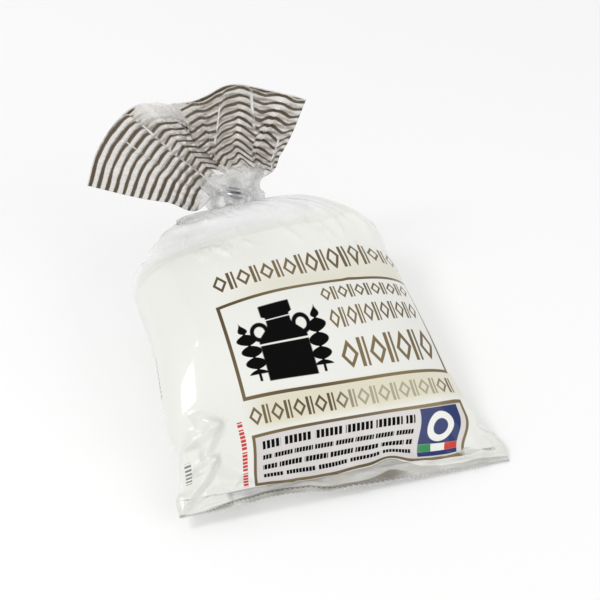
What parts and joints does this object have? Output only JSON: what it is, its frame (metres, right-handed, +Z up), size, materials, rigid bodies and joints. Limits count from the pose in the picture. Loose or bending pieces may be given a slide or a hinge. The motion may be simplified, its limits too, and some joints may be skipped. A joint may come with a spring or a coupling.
{
  "type": "film bag of mozzarella in brine, clipped at the neck",
  "caption": "Filled and sealed food bag of printed clear film, lying on its back: flat weld at the bottom, full body, neck gathered by a metal clip, striped fan above it.",
  "frame": {"origin": "on the table plane, under the middle of the whole pack's box", "axes": "+Y from the welded bottom edge towards the neck, +X to the printed face's right, +Z up, the way the printed face looks"},
  "size_m": [0.138, 0.1538, 0.1142],
  "materials": {
    "film": "thin clear polyethylene film over white brine, glossy, printed with a milky white panel, beige bands, thin gold-brown frames and brown stripes",
    "clip_metal": "plain bent wire, satin"
  },
  "bodies": {
    "root": {"bag": "film", "clip": "clip_metal"}
  },
  "joints": []
}
